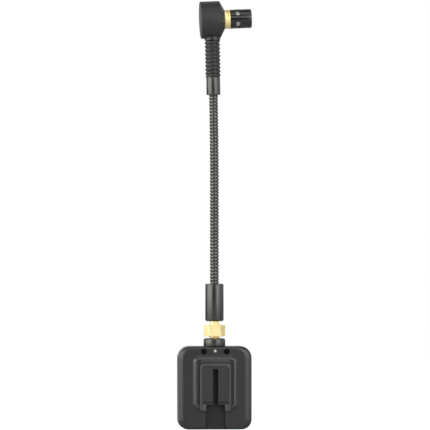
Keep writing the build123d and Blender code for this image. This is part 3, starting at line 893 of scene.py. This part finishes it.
def make_back_shell():
    shell = half_shell("back_shell_moulded", NEAR + RIM_DEPTH, PARTING)
    crown(shell, RIM_ASIDE, RIM_UP, RIM_DEPTH)
    hollow_out(shell, NEAR + WALL, PARTING + 1)
    backing = block("backing", (-6.0, NEAR + 0.8, 0.7), (6.0, POCKET_FLOOR + 1.2, 32.3))
    for part in (boss_tier(), boss_top(), pocket_frame(), backing):
        carve(shell, part, "UNION")
    cutters = pocket_cutters()
    for side in (-1, 1):
        x = side * SCREW_X
        post = rod_along_y("post", 2.0, x, SCREW_Z, NEAR + 0.7, POCKET_FLOOR + 1.35)
        carve(shell, post, "UNION")
        cutters += countersink(x, SCREW_Z, 1.5)
        cutters.append(rod_along_y("screw_hole", 0.85, x, SCREW_Z, NEAR, 0))
    cutters += countersink(0, LAMP_Z, 1.05)
    cutters.append(rod_along_y("lamp_hole", 1.05, 0, LAMP_Z, NEAR, NEAR + 1.8))
    cutters.append(turned("collar_hole", [(0, 38), (2.5, 38), (2.5, 43), (0, 43)], steps=48))
    inlet = rounded_block("inlet", (-4.6, -3.2, -1), (4.6, 0.2, 2.4), 0.2, 0.2, 2)
    round_edges(inlet, along_z, 1.4, 5)
    cutters.append(inlet)
    for cutter in cutters:
        carve(shell, cutter)
    finish_piece(shell, SHELL, HOUSING, "transmitter", ["back_shell"], 40, True)


def make_front_shell():
    shell = half_shell("front_shell_moulded", PARTING, FAR)
    round_edges(shell, at_depth(FAR), 1.3, 6)
    hollow_out(shell, PARTING - 1, FAR - WALL)
    for side in (-1, 1):
        x = side * SCREW_X
        carve(shell, rod_along_y("post", 1.8, x, SCREW_Z, PARTING, FAR - 0.7), "UNION")
        carve(shell, rod_along_y("bore", 0.85, x, SCREW_Z, PARTING - 1, FAR - WALL))
    carve(shell, rod_along_y("button_hole", 2.55, BUTTON_X, BUTTON_Z, 4, 8, 64))
    finish_piece(shell, SHELL, HOUSING, "transmitter", ["front_shell"], 40, True)


def make_guide_plate():
    near = NEAR - 1.75
    plate = rounded_block(
        "clip_guide_plate_pressed", (-6.3, near, PLATE_LOW), (6.3, SEAT, PLATE_HIGH), 0.95, 0.2, 6,
    )
    slot = rounded_block(
        "slot", (-1.35, near - 1, PLATE_LOW - 1), (1.35, SEAT + 1, 30.1), 0.15, 0.1, 2,
    )
    carve(plate, slot)
    round_edges(plate, at_depth(near), 0.12, 2)
    groove = block("groove", (-8, near - 1, 13.2), (8, near + 0.75, 13.85))
    carve(plate, groove)
    finish_piece(
        plate, PLATE, HOUSING, "transmitter", ["clip_guide_plate"], 40, True,
    )


def lay_along_y(piece, x, z):
    """Turns a piece made on Z to lie along Y, with its height as its depth."""
    piece.data.transform(Matrix.Rotation(-math.pi / 2, 4, "X"))
    piece.data.transform(Matrix.Translation((x * MM, 0, z * MM)))


def make_screws():
    heads = []
    for side in (-1, 1):
        head = turned("housing_screws_turned", [
            (0, -5.95), (1.2, -5.95), (1.42, -5.75), (1.42, -5.42), (0.8, -5.42), (0.8, 4.8),
            (0.6, 4.95), (0, 4.95),
        ], [0, 0.1, 0, 0, 0, 0, 0, 0], 48)
        key = turned("key", [(0, -7), (0.72, -7), (0.72, -5.3), (0, -5.2)], steps=6)
        carve(head, key)
        lay_along_y(head, side * SCREW_X, SCREW_Z)
        heads.append(head)
    screws = join(heads)
    finish_piece(screws, BLACK_STEEL, HOUSING, "transmitter", ["housing_screws"])


def make_lamp():
    lens = turned("led_window_moulded", [
        (0, -6.3), (0.35, -6.22), (0.62, -5.98), (0.74, -5.65), (0.74, -5.35), (1.0, -5.35),
        (1.0, -5.1), (0, -5.1),
    ], steps=48)
    lay_along_y(lens, 0, LAMP_Z)
    pick(lens, "VERT", lambda vertex: vertex.co.y < -5.34 * MM)
    bpy.ops.transform.translate(value=(0, 0, -0.22 * MM))
    done_editing()
    finish_piece(lens, DIFFUSER, HOUSING, "transmitter", ["led_window"], 60)


def make_button():
    cap = turned("power_button_moulded", [
        (0, 4.3), (0, -0.85), (1.0, -0.85), (1.0, 3.5), (3.2, 3.5), (3.2, 5.0), (2.5, 5.0),
        (2.5, 7.1), (2.1, 7.0), (0, 6.85),
    ], [0, 0, 0, 0, 0, 0.1, 0, 0.2, 0.1, 0], 64)
    lay_along_y(cap, BUTTON_X, BUTTON_Z)
    finish_piece(cap, SHELL, HOUSING, "power_button", ["power_button"])


# Coupling and ferrules ---------------------------------------------------------------

def make_collar():
    corners = [(2.5, 41.5), (5.45, 41.5), (5.45, 45.35), (2.5, 45.35)]
    piece = turned("bush_collar_turned", corners, [0, 0.12, 0.85, 0.1])
    finish_piece(piece, GUNMETAL, HOUSING, "transmitter", ["bush_collar"])


def make_socket():
    corners = [
        (1.65, 31.2), (2.45, 31.2), (2.45, 38.5), (3.5, 38.5), (3.5, 39.9), (2.45, 39.9),
        (2.45, 41.2), (2.15, 41.4), (2.15, 47.3), (2.05, 47.7), (1.65, 47.7),
    ]
    core = turned("socket_turned", corners)
    ridge = outline("socket_thread", [(2.1, 41.5), (2.45, 41.75), (2.45, 41.9), (2.1, 42.15)])
    sweep_round(ridge, 48, THREAD_PITCH, 7)
    close_ends(ridge)
    join([core, ridge])
    finish_piece(core, GOLD, HOUSING, "transmitter", ["socket_body"])


def make_nut():
    low, high = 46.3, 52.0
    clear_selection()
    bpy.ops.mesh.primitive_cylinder_add(
        vertices=6, radius=5.37 * MM, depth=(high - low) * MM,
        location=(0, 0, (low + high) / 2 * MM), rotation=(0, 0, math.pi / 6),
    )
    nut = bpy.context.object
    nut.name = "coupling_nut_cut"
    settle(nut)
    open_whole(nut)
    bpy.ops.mesh.bevel(offset=0.1 * MM, segments=2, affect="EDGES")
    bpy.ops.object.mode_set(mode="OBJECT")
    lathe_form = turned("nut_form", [
        (0, low), (4.95, low), (5.47, low + 0.35), (5.47, high - 0.35), (4.95, high), (0, high),
    ], steps=128)
    carve(nut, lathe_form, "INTERSECT")
    bore = turned("nut_bore", [
        (0, 45), (2.75, 45), (2.75, 46.7), (2.5, 47.0), (2.5, 49.7), (3.15, 49.7), (3.15, 50.4),
        (2.2, 50.4), (2.2, 51.7), (2.45, 53), (0, 53),
    ], steps=64)
    carve(nut, bore)
    finish_piece(nut, GOLD, HOUSING, "coupling_nut", ["coupling_nut"], 24)


def make_ferrule():
    corners = [
        (2.17, 53.9), (4.6, 53.9), (4.6, 72.55), (2.3, 72.55), (2.3, 64.2), (2.17, 64.2),
    ]
    piece = turned("lower_ferrule_turned", corners, [0.1, 0.8, 0.4, 0.15, 0, 0], 128)
    finish_piece(piece, GUNMETAL, HOUSING, "arm_base", ["lower_ferrule"])


def make_sleeve():
    corners = [(2.3, COIL_PITCH), (3.48, COIL_PITCH), (3.48, SLEEVE_TOP), (1.85, SLEEVE_TOP)]
    piece = turned("upper_sleeve_turned", corners, [0.12, 0.3, 0.3, 0], 128)
    finish_piece(piece, GUNMETAL, TIP, "arm_tip", ["upper_sleeve"])


# Gooseneck ---------------------------------------------------------------------------

def wound_stretch(name, length, phase):
    """A stretch of right-handed winding over its inner coil, from z = 0 up to length."""
    turns = math.ceil(length / COIL_PITCH) + 3
    wire = outline(name, [
        (1.5, -0.74), (1.95, -0.72), (2.14, -0.5), (2.23, -0.22), (2.25, 0.0), (2.23, 0.22),
        (2.14, 0.5), (1.95, 0.72), (1.5, 0.74),
    ])
    wire.data.transform(Matrix.Translation((0, 0, -COIL_PITCH * (1 + phase) * MM)))
    sweep_round(wire, 40, COIL_PITCH, turns)
    close_ends(wire)
    trim(wire, 0, length)
    core = turned(name + "_core", [(0.5, 0), (1.62, 0), (1.62, length), (0.5, length)], steps=40)
    return join([wire, core])


def make_gooseneck():
    """Each stretch of coil runs from the middle of one link to the middle of the next."""
    links = range(1, COIL_JOINTS)
    bodies = ["arm_base"] + [f"link_{number:02d}" for number in links] + ["arm_tip"]
    nodes = ["gooseneck_root"] + [f"gooseneck_link_{number:02d}" for number in links]
    along_tip = TIP.to_3x3() @ Vector((0, 0, MM))
    reach = COIL_PITCH + 0.9
    middles = [HINGES[0] - Vector((0, 0, reach * MM))]
    middles += [(low + high) / 2 for low, high in zip(HINGES, HINGES[1:])]
    middles.append(HINGES[-1] + along_tip * reach)
    for number, (low, high) in enumerate(zip(middles, middles[1:])):
        length = (high - low).length / MM
        first, last = number == 0, number == COIL_JOINTS - 1
        phase = length / COIL_PITCH % 1.0 if first else 0.0
        piece = wound_stretch(f"gooseneck_wound_{number + 1:02d}", length, -phase)
        replaced = [nodes[number]] + (["gooseneck_tip"] if last else [])
        finish_piece(piece, WIRE, leaning_frame(low, high), None, replaced, 50)
        bodies[number + 1]
        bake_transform(piece)


# Neck --------------------------------------------------------------------------------

def make_neck():
    corners = [
        (3.32, 0.0), (3.34, 0.16), (3.68, 0.48), (3.8, 0.8), (3.8, 1.15), (3.68, 1.45),
        (3.34, 1.76), (3.32, RIB_PITCH),
    ]
    rib = outline("ribbed_neck_moulded", corners)
    drop_edge(rib, 0, len(corners) - 1)
    rib.data.transform(Matrix.Translation((0, 0, -RIB_PITCH * MM)))
    sweep_round(rib, 72, RIB_PITCH, 13, **MERGE_SEAM)
    tidy_mesh(rib)
    trim(rib, 0, NECK_LENGTH + 0.3)
    low, high = NECK_LENGTH - 0.9, NECK_LENGTH + 1.2
    collar = turned("neck_collar", [
        (1.9, low), (3.95, low), (3.95, high), (1.9, high),
    ], [0, 0.2, 0, 0])
    join([rib, collar])
    place = TIP @ Matrix.Translation((0, 0, SLEEVE_TOP * MM))
    finish_piece(rib, RUBBER, place, None, ["ribbed_neck"], 40)
    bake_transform(rib)


# Head and capsule --------------------------------------------------------------------

def make_head():
    shell = turned("head_shell_moulded", [
        (8.5, -5.4), (9.3, -5.4), (9.3, 4.3), (5.2, 6.5), (3.62, 6.5), (3.62, 5.4), (4.3, 5.4),
        (8.0, 4.2), (8.0, -4.1), (8.5, -4.1),
    ], [0, 0.5, 0.3, 0.2, 0, 0, 0, 0, 0, 0], 128, "X")
    finish_piece(shell, HEAD, HEAD_FRAME, "head", ["head_shell"])
    cover = turned("head_cover_moulded", [
        (0, -5.4), (8.45, -5.4), (8.45, -4.15), (0, -4.15),
    ], [0, 0.25, 0, 0], 128, "X")
    finish_piece(cover, HEAD, HEAD_FRAME, "head", ["head_cover"])


def make_capsule():
    ring = turned("capsule_ring_turned", [
        (3.9, 6.55), (4.75, 6.55), (4.75, 8.05), (4.55, 8.12), (4.55, 8.32), (4.75, 8.4),
        (4.75, 9.38), (3.9, 9.38),
    ], [0, 0.2, 0.05, 0, 0, 0.05, 0.1, 0], 128, "X")
    finish_piece(ring, GOLD, HEAD_FRAME, "head", ["capsule_ring"])
    shell = turned("capsule_shell_turned", [
        (3.35, 9.4), (4.775, 9.4), (4.775, 20.1), (3.3, 20.1), (3.3, 19.65), (3.88, 19.65),
        (3.88, 10.85), (3.35, 10.85),
    ], [0, 0.06, 0.55, 0.1, 0, 0, 0, 0], 128, "X")
    for turn in VENT_TURNS:
        carve(shell, vent_cutter(turn))
    finish_piece(shell, GLOSS, HEAD_FRAME, "head", ["capsule_shell"])
    mesh_end = MESH_START + MESH_LENGTH
    mesh = turned("vent_mesh_woven", [
        (3.68, MESH_START), (3.83, MESH_START), (3.83, mesh_end), (3.68, mesh_end),
    ], steps=128, along="X")
    wrap(mesh, MESH_START, MESH_LENGTH)
    finish_piece(mesh, MESH, HEAD_FRAME, "head", ["vent_mesh"])


def vent_cutter(turn):
    """A slot through the wall, with its middle at the given turn."""
    cutter = outline("vent_cutter", [(3.0, 12.3), (6.0, 12.3), (6.0, 14.1), (3.0, 14.1)])
    open_whole(cutter)
    bpy.ops.mesh.edge_face_add()
    bpy.ops.mesh.spin(
        steps=12, angle=math.radians(VENT_SPAN), center=(0, 0, 0), axis=(0, 0, 1),
    )
    bpy.ops.mesh.select_all(action="SELECT")
    bpy.ops.mesh.normals_make_consistent(inside=False)
    bpy.ops.object.mode_set(mode="OBJECT")
    spots = [vertex.co for vertex in cutter.data.vertices]
    middle = sum(spots, Vector()) / len(spots)
    now = math.atan2(middle.y, middle.x)
    cutter.data.transform(Matrix.Rotation(math.radians(turn) - now, 4, "Z"))
    cutter.data.transform(Matrix.Rotation(math.pi / 2, 4, "Y"))
    return cutter


def wrap(piece, start, length):
    """Lays the piece's own map round it: across is the turn about X, along is how far down."""
    layer = piece.data.uv_layers.new(name="UVMap")
    for polygon in piece.data.polygons:
        spots = [piece.data.vertices[index].co for index in polygon.vertices]
        angles = [math.atan2(spot.z, spot.y) / math.tau for spot in spots]
        if max(angles) - min(angles) > 0.5:
            angles = [angle + 1 if angle < 0 else angle for angle in angles]
        for index, angle, spot in zip(polygon.loop_indices, angles, spots):
            layer.data[index].uv = (angle, (spot.x / MM - start) / length)


# The whole ---------------------------------------------------------------------------

dress_nodes()
make_back_shell()
make_front_shell()
make_guide_plate()
make_screws()
make_lamp()
make_button()
make_collar()
make_socket()
make_nut()
make_ferrule()
make_sleeve()
make_gooseneck()
make_neck()
make_head()
make_capsule()
make_camera()
make_world()
make_floor()
for panel in PANELS:
    light_panel(*panel)

bpy.context.scene.view_settings.view_transform = "Standard"
